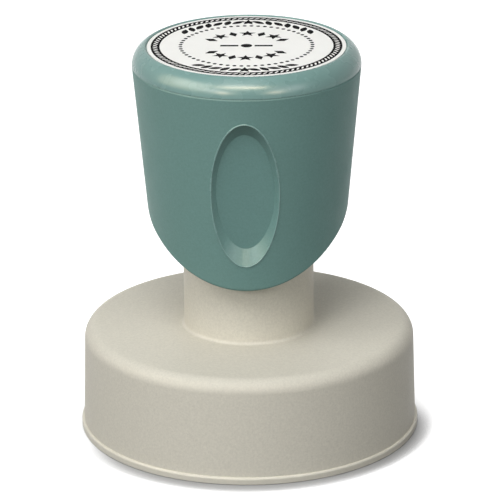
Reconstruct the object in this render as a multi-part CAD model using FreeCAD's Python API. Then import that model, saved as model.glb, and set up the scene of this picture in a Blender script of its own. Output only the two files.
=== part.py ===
import FreeCAD, Part
import math
import os

from FreeCAD import Vector

# Large round pre-inked hand stamp, in millimetres, +Z up.
# The origin is on the table, at the centre of the dust cap's flat underside.
# The labelled front of the handle faces -Y.

# Housing: skirt, deck and neck in one moulding
SKIRT_FOOT_RADIUS = 31.25
SKIRT_DRAFT = 0.025
SKIRT_HEIGHT = 18.5
SKIRT_WALL = 1.8
DECK_THICKNESS = 2.0
DECK_EDGE_ROUNDING = 2.5
NECK_RADIUS = 12.15
NECK_WALL = 1.5
NECK_RISE = 26.0
NECK_FOOT_ROUNDING = 0.6
RIB_COUNT = 6
RIB_START_ANGLE = 30
RIB_THICKNESS = 1.5
DECK_RIB_DEPTH = 1.4
BOSS_WALL = 3.6
BOSS_DROP = 3.2

# Dust cap that closes the open foot of the skirt
LIP_RADIUS = 31.7
LIP_HEIGHT = 1.3
LIP_ROUNDING = 0.4
LIP_BEVEL = 0.08
CAP_FLOOR = 1.0
COLLAR_HEIGHT = 3.4
COLLAR_WALL = 1.2

# Stroke of the printing head, down to the plane of the skirt's foot
STROKE = 3.0

# Printing head, sized from the skirt inwards: frame, holder, ink pad and die
HEAD_TO_COLLAR = 0.35
DIE_EDGE = 1.0
DIE_RELIEF = 1.0
DIE_BASE = 1.6
HOLDER_WALL = 1.0
HOLDER_FLOOR = 1.9
PILOT_FLOOR = 0.5
FRAME_WALL = 0.8
FRAME_LIP = 0.6
FRAME_HEIGHT = 5.4
BORDER_WIDTH = 1.0
DOT_RING_INSET = 8.0
DOT_COUNT = 36
DOT_RADIUS = 0.45
DASH_LENGTH = 4.5
DASH_WIDTH = 0.6
DASH_START = 2.0
CENTRE_DOT_RADIUS = 1.3

# Stem: hollow, so that ink runs down to the pad
STEM_RADIUS = 6.0
INK_BORE_RADIUS = 2.0
FLANGE_EDGE = 0.7
FLANGE_THICKNESS = 2.0
KEY_WIDTH = 2.0
KEY_HEIGHT = 1.0
KEY_LENGTH = 10.0
SHOULDER_WIDTH_ON_STEM = 1.0
SPIGOT_HEADROOM = 0.6
SPIGOT_FLAT_DEPTH = 0.8
SHOULDER_ABOVE_NECK = 3.2
SEAL_RADIUS = 4.6
SEAL_SECTION = 1.2

# Return spring, its upper seat and the clip that holds the seat
SPRING_WIRE = 1.3
SPRING_WIRE_SIDES = 8
SPRING_SIDE_GAP = 1.35
SPRING_ACTIVE_TURNS = 4
SPRING_END_PITCH = 1.8
SEAT_BELOW_NECK_TOP = 3.6
SEAT_THICKNESS = 1.2
SEAT_RIM = 0.8
SEAT_RIM_DEPTH = 1.5
CLIP_THICKNESS = 0.9
CLIP_WIDTH = 3.0
CLIP_DEPTH = 0.8
CLIP_MOUTH = 7.0

# Handle: a tapered bucket, its lower end cut to a round U seen from the front
HANDLE_RADIUS = 21.1
HANDLE_TAPER = 0.092
HANDLE_HEIGHT = 38.05
HANDLE_WALL = 2.0
HANDLE_DECK_GAP = 12.55
U_OVER_HANDLE = 1.0
U_CORNER_ROUNDING = 8.0
U_TO_TAPER = 0.05
U_EDGE_ROUNDING = 0.5
SEAM_BEVEL_WIDTH = 0.15
HANDLE_BEVEL_HEIGHT = 0.3
CAP_BEVEL_HEIGHT = 0.1

# Oval recess in the front and the back of the handle
OVAL_RISE = 19.1
OVAL_FLOOR_HALF_WIDTH = 5.3
OVAL_FLOOR_HALF_HEIGHT = 11.35
OVAL_DEPTH = 1.85
OVAL_SIDE_SLOPE = 1.06
OVAL_END_SLOPE = 1.54
OVAL_EDGE_ROUNDING = 0.25

# Core in the handle, with the socket that grips the stem's spigot
CORE_PLATE = 2.0
CORE_BELOW_SEAM = 4.4
SOCKET_WALL = 2.6
CORE_RIB_COUNT = 4
CORE_RIB_THICKNESS = 1.6
CORE_RIB_DEPTH = 9.0
CORE_RIB_REACH = 7.0
CORE_RIB_TIP = 0.5
COLUMN_TO_BORE = 0.5
COLUMN_RADIUS = 2.4
COLUMN_COUNT = 4
COLUMN_START_ANGLE = 45

# Top cap and the label that lies in it
SHOULDER_ROUNDING = 3.95
RIM_WIDTH = 2.62
RIM_ROUNDING = 0.3
LABEL_RECESS = 0.4
LABEL_THICKNESS = 0.25
LABEL_GAP = 0.2
TOP_CAP_PLATE = 1.5
PLUG_DEPTH = 2.8
PLUG_WALL = 1.4

# Self-tapping screws
SCREW_HEAD_RADIUS = 2.1
SCREW_HEAD_HEIGHT = 1.4
SCREW_SHANK_RADIUS = 1.2
HEAD_SCREW_COUNT = 3
HEAD_SCREW_TO_BOSS = 0.4
HEAD_SCREW_LENGTH = 3.2
CORE_SCREW_LENGTH = 9.0

# Filler plug and grip ring on the spigot
PLUG_HEAD_RADIUS = 3.4
PLUG_HEAD_HEIGHT = 1.1
PLUG_SHANK_LENGTH = 6.0
GRIP_RING_SECTION = 1.2
GRIP_RING_RISE = 3.0
FLAT_ABOVE_RING = 0.8

# Small bevels on moulded edges
EDGE_BEVEL = 0.2
MOUTH_BEVEL = 0.4

# Clearances
RUNNING_GAP = 0.08
SEATED_GAP = 0.05
NECK_GAP = 0.35
MOULDING_GAP = 0.1
SCREW_GAP = 0.05
FRAME_TO_RIB = 0.35
FUSE_OVERLAP = 0.5
OVERCUT = 1.0
TOUCH = 0.01
BEVEL = "bevel"

# Levels worked out from the sizes above
FOOT_LEVEL = LIP_HEIGHT
DECK_TOP = FOOT_LEVEL + SKIRT_HEIGHT
DECK_UNDER = DECK_TOP - DECK_THICKNESS
NECK_TOP = DECK_TOP + NECK_RISE
NECK_BORE = NECK_RADIUS - NECK_WALL

FLANGE_TOP = DECK_UNDER - BOSS_DROP
HOLDER_TOP = FLANGE_TOP - FLANGE_THICKNESS
PAD_BACK = HOLDER_TOP - HOLDER_FLOOR
DIE_FACE = FOOT_LEVEL + STROKE
DIE_BASE_FACE = DIE_FACE + DIE_RELIEF
DIE_BACK = DIE_BASE_FACE + DIE_BASE
COLLAR_TOP = FOOT_LEVEL + COLLAR_HEIGHT
COLLAR_RADIUS = SKIRT_FOOT_RADIUS - SKIRT_DRAFT * COLLAR_HEIGHT - SKIRT_WALL - RUNNING_GAP
FRAME_RADIUS = COLLAR_RADIUS - COLLAR_WALL - HEAD_TO_COLLAR
FRAME_BORE = FRAME_RADIUS - FRAME_WALL
HOLDER_RADIUS = FRAME_BORE - MOULDING_GAP
HOLDER_BORE = HOLDER_RADIUS - HOLDER_WALL
DIE_RADIUS = HOLDER_BORE - MOULDING_GAP
PRINT_RADIUS = DIE_RADIUS - DIE_EDGE

SPIGOT_RADIUS = STEM_RADIUS - SHOULDER_WIDTH_ON_STEM
GUIDE_BORE = STEM_RADIUS + RUNNING_GAP
BOSS_RADIUS = GUIDE_BORE + KEY_HEIGHT + BOSS_WALL
HEAD_SCREW_PITCH_RADIUS = BOSS_RADIUS + HEAD_SCREW_TO_BOSS + SCREW_HEAD_RADIUS
FLANGE_RADIUS = HEAD_SCREW_PITCH_RADIUS + SCREW_HEAD_RADIUS + FLANGE_EDGE
SHOULDER = NECK_TOP + SHOULDER_ABOVE_NECK
SEAT_TOP = NECK_TOP - SEAT_BELOW_NECK_TOP
SEAT_UNDER = SEAT_TOP - SEAT_THICKNESS
CLIP_GROOVE_RADIUS = STEM_RADIUS - CLIP_DEPTH

HANDLE_LOW = DECK_TOP + HANDLE_DECK_GAP
SEAM = HANDLE_LOW + HANDLE_HEIGHT
U_RADIUS = HANDLE_RADIUS + U_OVER_HANDLE
U_CENTRE = HANDLE_LOW + U_RADIUS
NECK_HOLE = NECK_RADIUS + NECK_GAP
CORE_TOP = SEAM - CORE_BELOW_SEAM
CORE_UNDER = CORE_TOP - CORE_PLATE
CORE_BORE = HANDLE_RADIUS - HANDLE_TAPER * (SEAM - CORE_UNDER) - HANDLE_WALL
COLUMN_PITCH_RADIUS = CORE_BORE - COLUMN_TO_BORE - COLUMN_RADIUS
STEM_TOP = CORE_UNDER - PLUG_HEAD_HEIGHT - SPIGOT_HEADROOM
GRIP_LEVEL = SHOULDER + GRIP_RING_RISE
FLAT_LOW = GRIP_LEVEL + GRIP_RING_SECTION / 2 + FLAT_ABOVE_RING
FLAT_SIDE = SPIGOT_RADIUS - SPIGOT_FLAT_DEPTH
LABEL_BORE = HANDLE_RADIUS - RIM_WIDTH
SHOULDER_CENTRE = HANDLE_RADIUS - SHOULDER_ROUNDING
SHOULDER_LOW = SEAM + CAP_BEVEL_HEIGHT
RIM_CENTRE = LABEL_BORE + RIM_ROUNDING
RIM_RISE_SQUARED = (SHOULDER_ROUNDING - RIM_ROUNDING) ** 2 - (RIM_CENTRE - SHOULDER_CENTRE) ** 2
RIM_CENTRE_LEVEL = SHOULDER_LOW + math.sqrt(RIM_RISE_SQUARED)
TOP = RIM_CENTRE_LEVEL + RIM_ROUNDING
LABEL_SEAT = TOP - LABEL_RECESS


def skirt_radius(level):
    """Outer radius of the drafted skirt at a height."""
    return SKIRT_FOOT_RADIUS - SKIRT_DRAFT * (level - FOOT_LEVEL)


def handle_radius(level):
    """Outer radius of the tapered handle at a height."""
    return HANDLE_RADIUS - HANDLE_TAPER * (SEAM - level)


def handle_bore(level):
    """Inner radius of the handle's wall at a height."""
    return handle_radius(level) - HANDLE_WALL


def cylinder(radius, low, high):
    """Upright cylinder on the axis, from one height to another."""
    return Part.makeCylinder(radius, high - low, Vector(0, 0, low))


def ring(outer, inner, low, high):
    """Upright ring on the axis."""
    return cylinder(outer, low, high).cut(cylinder(inner, low - OVERCUT, high + OVERCUT))


def box(x_low, x_high, width, z_low, z_high):
    """Box along X, centred across Y."""
    corner = Vector(x_low, -width / 2, z_low)
    return Part.makeBox(x_high - x_low, width, z_high - z_low, corner)


def turned(shape, angle):
    """Copy of a shape turned about the axis, in degrees."""
    copy = shape.copy()
    copy.rotate(Vector(0, 0, 0), Vector(0, 0, 1), angle)
    return copy


def six_sided(radius, low, high):
    """Upright six-sided prism on the axis."""
    corners = [Vector(radius * math.cos(step * math.pi / 3), radius * math.sin(step * math.pi / 3), low)
               for step in range(7)]
    return Part.Face(Part.makePolygon(corners)).extrude(Vector(0, 0, high - low))


def around(shape, count, start=0.0):
    """Copies of a shape spread evenly about the axis."""
    return [turned(shape, start + 360.0 * number / count) for number in range(count)]


def corner_edges(corners):
    """Closed outline through (radius, height) corners.

    A third number rounds a corner by that radius, and BEVEL after it cuts it straight instead.
    """
    points = [Vector(corner[0], 0, corner[1]) for corner in corners]
    arrivals = []
    departures = []
    cut_edges = []
    for number, point in enumerate(points):
        if len(corners[number]) == 2:
            arrivals.append(point)
            departures.append(point)
            cut_edges.append(None)
            continue
        size = corners[number][2]
        back = (points[number - 1] - point).normalize()
        ahead = (points[(number + 1) % len(points)] - point).normalize()
        half = back.getAngle(ahead) / 2
        if BEVEL in corners[number]:
            arrivals.append(point + back * size)
            departures.append(point + ahead * size)
            cut_edges.append(Part.LineSegment(arrivals[-1], departures[-1]).toShape())
            continue
        arrivals.append(point + back * (size / math.tan(half)))
        departures.append(point + ahead * (size / math.tan(half)))
        middle = (back + ahead).normalize() * (size / math.sin(half) - size)
        cut_edges.append(Part.Arc(arrivals[-1], point + middle, departures[-1]).toShape())
    edges = []
    for number, cut_edge in enumerate(cut_edges):
        if cut_edge:
            edges.append(cut_edge)
        following = (number + 1) % len(points)
        edges.append(Part.LineSegment(departures[number], arrivals[following]).toShape())
    return edges


def revolved(corners):
    """Solid of revolution from a closed outline of corners."""
    face = Part.Face(Part.Wire(corner_edges(corners)))
    return face.revolve(Vector(0, 0, 0), Vector(0, 0, 1), 360)


def soft_ring(radius, section, level):
    """Seal ring of eight-sided section, with its centre line at a radius and a height."""
    corners = []
    for number in range(8):
        angle = math.pi * (number + 0.5) / 4
        reach = section / 2 / math.cos(math.pi / 8)
        corners.append((radius + reach * math.cos(angle), level + reach * math.sin(angle)))
    return revolved(corners)


def make_skirt_housing():
    """Drafted skirt, flat deck and neck, with the stem's guide and stop boss inside."""
    boss_low = FLANGE_TOP + SEATED_GAP
    body = revolved([
        (skirt_radius(FOOT_LEVEL), FOOT_LEVEL),
        (skirt_radius(DECK_TOP), DECK_TOP, DECK_EDGE_ROUNDING),
        (NECK_RADIUS, DECK_TOP, NECK_FOOT_ROUNDING),
        (NECK_RADIUS, NECK_TOP, MOUTH_BEVEL, BEVEL),
        (NECK_BORE, NECK_TOP, MOUTH_BEVEL, BEVEL),
        (NECK_BORE, DECK_TOP),
        (GUIDE_BORE, DECK_TOP),
        (GUIDE_BORE, boss_low),
        (BOSS_RADIUS, boss_low),
        (BOSS_RADIUS, DECK_UNDER),
        (skirt_radius(DECK_UNDER) - SKIRT_WALL, DECK_UNDER),
        (skirt_radius(FOOT_LEVEL) - SKIRT_WALL, FOOT_LEVEL),
    ])
    deck_rib = box(BOSS_RADIUS - FUSE_OVERLAP, skirt_radius(DECK_UNDER) - SKIRT_WALL / 2, RIB_THICKNESS,
                   DECK_UNDER - DECK_RIB_DEPTH, DECK_UNDER + DECK_THICKNESS / 2)
    guide_rib = box(FRAME_RADIUS + FRAME_TO_RIB, skirt_radius(DECK_UNDER) - SKIRT_WALL / 2, RIB_THICKNESS,
                    DIE_BACK, DECK_UNDER + DECK_THICKNESS / 2)
    ribs = around(deck_rib, RIB_COUNT, RIB_START_ANGLE) + around(guide_rib, RIB_COUNT, RIB_START_ANGLE)
    body = body.multiFuse(ribs).removeSplitter()
    keyway = box(0, GUIDE_BORE + KEY_HEIGHT, KEY_WIDTH + 2 * RUNNING_GAP,
                 boss_low - OVERCUT, DECK_TOP + OVERCUT)
    for slot in around(keyway, 2):
        body = body.cut(slot)
    return body


def make_dust_cap():
    """Flat lid with a rounded lip and a collar that pushes up into the skirt."""
    low_radius = SKIRT_FOOT_RADIUS - SKIRT_WALL - RUNNING_GAP
    return revolved([
        (0, 0),
        (LIP_RADIUS, 0, LIP_BEVEL, BEVEL),
        (LIP_RADIUS, FOOT_LEVEL, LIP_ROUNDING),
        (low_radius, FOOT_LEVEL),
        (COLLAR_RADIUS, COLLAR_TOP, MOUTH_BEVEL, BEVEL),
        (COLLAR_RADIUS - COLLAR_WALL, COLLAR_TOP),
        (low_radius - COLLAR_WALL, CAP_FLOOR),
        (0, CAP_FLOOR),
    ])


def make_stamp_die():
    """Printing face: a rim, a ring of dots and a dash, dot and dash, on a round base."""
    relief_top = DIE_BASE_FACE + DIE_BASE / 2
    base = cylinder(DIE_RADIUS, DIE_BASE_FACE, DIE_BACK)
    rim = ring(PRINT_RADIUS, PRINT_RADIUS - BORDER_WIDTH, DIE_FACE, relief_top)
    dot = six_sided(DOT_RADIUS, DIE_FACE, relief_top)
    dot.translate(Vector(PRINT_RADIUS - DOT_RING_INSET, 0, 0))
    dash = box(DASH_START, DASH_START + DASH_LENGTH, DASH_WIDTH, DIE_FACE, relief_top)
    centre = cylinder(CENTRE_DOT_RADIUS, DIE_FACE, relief_top)
    raised = [rim, centre] + around(dot, DOT_COUNT) + around(dash, 2)
    return base.multiFuse(raised).removeSplitter()


def make_ink_pad():
    """Porous disc that holds the ink behind the die."""
    return cylinder(DIE_RADIUS, DIE_BACK, PAD_BACK)


def make_die_holder():
    """Dish over the pad and the die, with the ink hole in its floor."""
    body = revolved([
        (INK_BORE_RADIUS, HOLDER_TOP),
        (INK_BORE_RADIUS, PAD_BACK),
        (HOLDER_BORE, PAD_BACK),
        (HOLDER_BORE, DIE_BASE_FACE),
        (HOLDER_RADIUS, DIE_BASE_FACE),
        (HOLDER_RADIUS, HOLDER_TOP, MOUTH_BEVEL, BEVEL),
    ])
    pilot = Part.makeCylinder(SCREW_SHANK_RADIUS + SCREW_GAP, HOLDER_FLOOR,
                              Vector(HEAD_SCREW_PITCH_RADIUS, 0, PAD_BACK + PILOT_FLOOR))
    for hole in around(pilot, HEAD_SCREW_COUNT):
        body = body.cut(hole)
    return body


def make_die_frame():
    """Ring that snaps round the holder and clamps the rim of the die."""
    return revolved([
        (PRINT_RADIUS + MOULDING_GAP, DIE_BASE_FACE - FRAME_LIP),
        (FRAME_RADIUS, DIE_BASE_FACE - FRAME_LIP, MOUTH_BEVEL, BEVEL),
        (FRAME_RADIUS, DIE_BASE_FACE - FRAME_LIP + FRAME_HEIGHT, EDGE_BEVEL, BEVEL),
        (FRAME_BORE, DIE_BASE_FACE - FRAME_LIP + FRAME_HEIGHT),
        (FRAME_BORE, DIE_BASE_FACE),
        (PRINT_RADIUS + MOULDING_GAP, DIE_BASE_FACE),
    ])


def make_stem():
    """Hollow stem with its flange, keys, clip groove and flatted spigot."""
    seal_half = SEAL_SECTION / 2 + SEATED_GAP
    clip_low = SEAT_TOP + SEATED_GAP
    clip_high = clip_low + CLIP_THICKNESS + SEATED_GAP
    grip_half = GRIP_RING_SECTION / 2 + SEATED_GAP
    grip_root = SPIGOT_RADIUS - GRIP_RING_SECTION
    body = revolved([
        (INK_BORE_RADIUS, HOLDER_TOP),
        (SEAL_RADIUS - seal_half, HOLDER_TOP),
        (SEAL_RADIUS - seal_half, HOLDER_TOP + SEAL_SECTION),
        (SEAL_RADIUS + seal_half, HOLDER_TOP + SEAL_SECTION),
        (SEAL_RADIUS + seal_half, HOLDER_TOP),
        (FLANGE_RADIUS, HOLDER_TOP),
        (FLANGE_RADIUS, FLANGE_TOP, EDGE_BEVEL, BEVEL),
        (STEM_RADIUS, FLANGE_TOP),
        (STEM_RADIUS, clip_low),
        (CLIP_GROOVE_RADIUS, clip_low),
        (CLIP_GROOVE_RADIUS, clip_high),
        (STEM_RADIUS, clip_high),
        (STEM_RADIUS, SHOULDER, EDGE_BEVEL, BEVEL),
        (SPIGOT_RADIUS, SHOULDER),
        (SPIGOT_RADIUS, GRIP_LEVEL - grip_half),
        (grip_root, GRIP_LEVEL - grip_half),
        (grip_root, GRIP_LEVEL + grip_half),
        (SPIGOT_RADIUS, GRIP_LEVEL + grip_half),
        (SPIGOT_RADIUS, STEM_TOP, MOUTH_BEVEL, BEVEL),
        (INK_BORE_RADIUS, STEM_TOP),
    ])
    key = box(0, STEM_RADIUS + KEY_HEIGHT, KEY_WIDTH, FLANGE_TOP - FUSE_OVERLAP, FLANGE_TOP + KEY_LENGTH)
    key = key.cut(cylinder(STEM_RADIUS - FUSE_OVERLAP, FLANGE_TOP - OVERCUT,
                           FLANGE_TOP + KEY_LENGTH + OVERCUT))
    body = body.multiFuse(around(key, 2)).removeSplitter()
    flat = Part.makeBox(2 * STEM_RADIUS, STEM_RADIUS, STEM_TOP - FLAT_LOW + OVERCUT,
                        Vector(-STEM_RADIUS, FLAT_SIDE, FLAT_LOW))
    body = body.cut(flat)
    hole = Part.makeCylinder(SCREW_SHANK_RADIUS + SCREW_GAP, FLANGE_THICKNESS + 2 * OVERCUT,
                             Vector(HEAD_SCREW_PITCH_RADIUS, 0, HOLDER_TOP - OVERCUT))
    for cut in around(hole, HEAD_SCREW_COUNT):
        body = body.cut(cut)
    return body


def make_ink_seal():
    """Soft ring that seals the ink path between the stem and the holder."""
    return soft_ring(SEAL_RADIUS, SEAL_SECTION - 2 * SEATED_GAP, HOLDER_TOP + SEAL_SECTION / 2)


def make_spring_seat():
    """Dished washer on top of the spring, sliding in the neck."""
    outer = NECK_BORE - RUNNING_GAP
    return revolved([
        (STEM_RADIUS + SEATED_GAP, SEAT_UNDER),
        (outer - SEAT_RIM, SEAT_UNDER),
        (outer - SEAT_RIM, SEAT_UNDER - SEAT_RIM_DEPTH),
        (outer, SEAT_UNDER - SEAT_RIM_DEPTH),
        (outer, SEAT_TOP, MOUTH_BEVEL, BEVEL),
        (STEM_RADIUS + SEATED_GAP, SEAT_TOP),
    ])


def make_retaining_clip():
    """Open clip in the stem's groove, on top of the spring seat."""
    low = SEAT_TOP + SEATED_GAP
    bore = CLIP_GROOVE_RADIUS + SEATED_GAP
    body = ring(STEM_RADIUS + CLIP_WIDTH - CLIP_DEPTH, bore, low, low + CLIP_THICKNESS)
    mouth = box(0, STEM_RADIUS + CLIP_WIDTH, CLIP_MOUTH, low - OVERCUT, low + CLIP_THICKNESS + OVERCUT)
    return body.cut(mouth)


def spring_point(turn):
    """Point and direction on the spring's centre line, counted in turns from its lower end."""
    radius = NECK_BORE - SPRING_SIDE_GAP - SPRING_WIRE / 2
    low = DECK_TOP + SEATED_GAP + SPRING_WIRE / 2
    high = SEAT_UNDER - SEATED_GAP - SPRING_WIRE / 2
    pitch = (high - low - 2 * SPRING_END_PITCH) / SPRING_ACTIVE_TURNS
    if turn <= 1:
        rise = SPRING_END_PITCH
        level = low + turn * SPRING_END_PITCH
    elif turn <= 1 + SPRING_ACTIVE_TURNS:
        rise = pitch
        level = low + SPRING_END_PITCH + (turn - 1) * pitch
    else:
        rise = SPRING_END_PITCH
        level = high - (SPRING_ACTIVE_TURNS + 2 - turn) * SPRING_END_PITCH
    angle = 2 * math.pi * turn
    point = Vector(radius * math.cos(angle), radius * math.sin(angle), level)
    direction = Vector(-math.sin(angle), math.cos(angle), rise / (2 * math.pi * radius))
    return point, direction.normalize()


def tangent_arc(start, direction, end):
    """Arc from start to end that leaves start along a direction."""
    chord = end - start
    side = (chord - direction * chord.dot(direction)).normalize()
    along = chord.dot(direction)
    across = chord.dot(side)
    radius = chord.dot(chord) / (2 * across)
    half = math.atan2(across, along)
    middle = start + direction * (radius * math.sin(half)) + side * (radius * (1 - math.cos(half)))
    return Part.Arc(start, middle, end).toShape()


def biarc(start, start_direction, end, end_direction):
    """Two arcs that join two points smoothly, with a common tangent where they meet."""
    gap = end - start
    both = start_direction + end_direction
    a = both.dot(both) - 4
    b = -2 * gap.dot(both)
    c = gap.dot(gap)
    reach = (-b - math.sqrt(b * b - 4 * a * c)) / (2 * a)
    middle = (start + start_direction * reach + end - end_direction * reach) * 0.5
    first = tangent_arc(start, start_direction, middle)
    second = tangent_arc(end, end_direction * -1, middle)
    return [first, second]


def make_return_spring():
    """Compression spring with close end turns, one unbroken wire round the stem."""
    edges = []
    for half_turn in range(2 * (SPRING_ACTIVE_TURNS + 2)):
        start, start_direction = spring_point(half_turn / 2)
        end, end_direction = spring_point((half_turn + 1) / 2)
        edges += biarc(start, start_direction, end, end_direction)
    path = Part.Wire(Part.__sortEdges__(edges))
    start, direction = spring_point(0)
    outward = Vector(1, 0, 0)
    upward = direction.cross(outward)
    corners = []
    for number in range(SPRING_WIRE_SIDES + 1):
        angle = 2 * math.pi * number / SPRING_WIRE_SIDES
        corners.append(start + (outward * math.cos(angle) + upward * math.sin(angle)) * (SPRING_WIRE / 2))
    return path.makePipeShell([Part.makePolygon(corners)], True, False)


def spring_gap():
    """Least gap between one turn of the spring and the next, measured on points."""
    steps = 48
    points = [spring_point(step / steps)[0] for step in range(steps * (SPRING_ACTIVE_TURNS + 2) + 1)]
    least = 1e9
    for first in range(len(points)):
        for second in range(first + steps // 2, len(points)):
            least = min(least, points[first].distanceToPoint(points[second]))
    return least - SPRING_WIRE


def make_filler_plug():
    """Stopper in the top of the stem, pulled out to add ink."""
    shank = INK_BORE_RADIUS - SEATED_GAP
    return revolved([
        (0, STEM_TOP - PLUG_SHANK_LENGTH),
        (shank, STEM_TOP - PLUG_SHANK_LENGTH, MOUTH_BEVEL, BEVEL),
        (shank, STEM_TOP),
        (PLUG_HEAD_RADIUS, STEM_TOP),
        (PLUG_HEAD_RADIUS, STEM_TOP + PLUG_HEAD_HEIGHT, MOUTH_BEVEL, BEVEL),
        (0, STEM_TOP + PLUG_HEAD_HEIGHT),
    ])


def make_grip_ring():
    """Rubber ring on the spigot that keeps the handle on the stem."""
    section = GRIP_RING_SECTION - 2 * SEATED_GAP
    return soft_ring(SPIGOT_RADIUS - GRIP_RING_SECTION / 2, section, GRIP_LEVEL)


def u_prism(inset, high):
    """Bar along Y with the handle's outline from the front: a round U run into the taper by soft corners.

    An inset draws the same outline that far inside.
    """
    corner = U_CORNER_ROUNDING - inset
    along = Vector(HANDLE_TAPER, 0, 1).normalize()
    outward = Vector(1, 0, -HANDLE_TAPER).normalize()
    side = Vector(handle_radius(U_CENTRE) + U_TO_TAPER - inset, 0, 0) - outward * corner
    rise = side.dot(along)
    spread = (U_RADIUS - U_CORNER_ROUNDING) ** 2 - side.dot(side)
    corner_centre = side - along * (rise + math.sqrt(rise ** 2 + spread))
    down = Vector(corner_centre.x, 0, corner_centre.z).normalize()
    on_u = corner_centre + down * corner
    on_corner = corner_centre + (down + outward).normalize() * corner
    on_side = corner_centre + outward * corner
    on_top = Vector(handle_radius(high) + U_TO_TAPER - inset, 0, high - U_CENTRE)
    bottom = Vector(0, 0, inset - U_RADIUS)
    wire = Part.Wire([
        Part.Arc(mirrored(on_u), bottom, on_u).toShape(),
        Part.Arc(on_u, on_corner, on_side).toShape(),
        Part.LineSegment(on_side, on_top).toShape(),
        Part.LineSegment(on_top, mirrored(on_top)).toShape(),
        Part.LineSegment(mirrored(on_top), mirrored(on_side)).toShape(),
        Part.Arc(mirrored(on_side), mirrored(on_corner), mirrored(on_u)).toShape(),
    ])
    face = Part.Face(wire)
    face.translate(Vector(0, -2 * HANDLE_RADIUS, U_CENTRE))
    return face.extrude(Vector(0, 4 * HANDLE_RADIUS, 0))


def mirrored(point):
    """The same point on the left half of the handle."""
    return Vector(-point.x, point.y, point.z)


def ellipse_wire(half_width, half_height):
    """Closed upright ellipse round the origin, taller than wide."""
    high = Vector(0, 0, half_height)
    wide = Vector(half_width, 0, 0)
    return Part.Wire(Part.Ellipse(high, wide, Vector(0, 0, 0)).toShape())


def oval_tool(grow, back):
    """Tapered oval that cuts the front recess, grown and moved back for the wall behind it."""
    level = HANDLE_LOW + OVAL_RISE
    reach = OVAL_DEPTH + back + OVERCUT
    floor = ellipse_wire(OVAL_FLOOR_HALF_WIDTH + grow, OVAL_FLOOR_HALF_HEIGHT + grow)
    mouth = ellipse_wire(OVAL_FLOOR_HALF_WIDTH + grow + OVAL_SIDE_SLOPE * reach,
                         OVAL_FLOOR_HALF_HEIGHT + grow + OVAL_END_SLOPE * reach)
    mouth.translate(Vector(0, -reach, 0))
    tool = Part.makeLoft([floor, mouth], True, True)
    tool.translate(Vector(0, OVAL_DEPTH + back, 0))
    tool.rotate(Vector(0, 0, 0), Vector(1, 0, 0), math.degrees(math.atan(HANDLE_TAPER)))
    tool.translate(Vector(0, -handle_radius(level), level))
    return tool


def make_handle_shell():
    """Tapered bucket with a round U for its lower end, screw columns and two oval recesses."""
    outer = revolved([
        (0, HANDLE_LOW - OVERCUT),
        (handle_radius(HANDLE_LOW - OVERCUT), HANDLE_LOW - OVERCUT),
        (handle_radius(SEAM - HANDLE_BEVEL_HEIGHT), SEAM - HANDLE_BEVEL_HEIGHT),
        (handle_radius(SEAM) - SEAM_BEVEL_WIDTH, SEAM),
        (0, SEAM),
    ])
    outer = outer.common(u_prism(0, SEAM + OVERCUT))
    rim_edges = [edge for edge in outer.Edges if is_u_rim(edge)]
    outer = outer.makeFillet(U_EDGE_ROUNDING, rim_edges)
    inner = revolved([
        (0, HANDLE_LOW - OVERCUT),
        (handle_bore(HANDLE_LOW - OVERCUT), HANDLE_LOW - OVERCUT),
        (handle_bore(SEAM + OVERCUT), SEAM + OVERCUT),
        (0, SEAM + OVERCUT),
    ])
    inner = inner.common(u_prism(HANDLE_WALL, SEAM + 2 * OVERCUT))
    recess = oval_tool(0, 0)
    backing = oval_tool(0, HANDLE_WALL)
    for angle in (0, 180):
        inner = inner.cut(turned(backing, angle))
    column = Part.makeCylinder(COLUMN_RADIUS, CORE_UNDER - HANDLE_LOW,
                               Vector(COLUMN_PITCH_RADIUS, 0, HANDLE_LOW))
    for piece in around(column, COLUMN_COUNT, COLUMN_START_ANGLE):
        inner = inner.cut(piece)
    body = outer.cut(inner)
    body = body.cut(cylinder(NECK_HOLE, HANDLE_LOW - OVERCUT, U_CENTRE))
    for angle in (0, 180):
        body = body.cut(turned(recess, angle))
    oval_edges = [edge for edge in body.Edges if is_oval_rim(edge)]
    body = body.makeFillet(OVAL_EDGE_ROUNDING, oval_edges)
    pilot = Part.makeCylinder(SCREW_SHANK_RADIUS + SCREW_GAP, CORE_SCREW_LENGTH,
                              Vector(COLUMN_PITCH_RADIUS, 0, CORE_UNDER - CORE_SCREW_LENGTH))
    for hole in around(pilot, COLUMN_COUNT, COLUMN_START_ANGLE):
        body = body.cut(hole)
    return body


def is_on_taper(edge):
    """True for an edge that lies on the handle's outer taper."""
    middle = (edge.FirstParameter + edge.LastParameter) / 2
    points = [edge.valueAt(parameter) for parameter in (edge.FirstParameter, middle, edge.LastParameter)]
    return all(abs(math.hypot(point.x, point.y) - handle_radius(point.z)) < TOUCH for point in points)


def is_u_rim(edge):
    """True for an edge where the taper meets the underside."""
    return is_on_taper(edge) and edge.BoundBox.ZMax < U_CENTRE


def is_oval_rim(edge):
    """True for an edge where the taper meets a recess."""
    half_width = max(edge.BoundBox.XMax, -edge.BoundBox.XMin)
    return is_on_taper(edge) and half_width < NECK_HOLE and edge.BoundBox.ZLength > OVAL_FLOOR_HALF_HEIGHT


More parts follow.
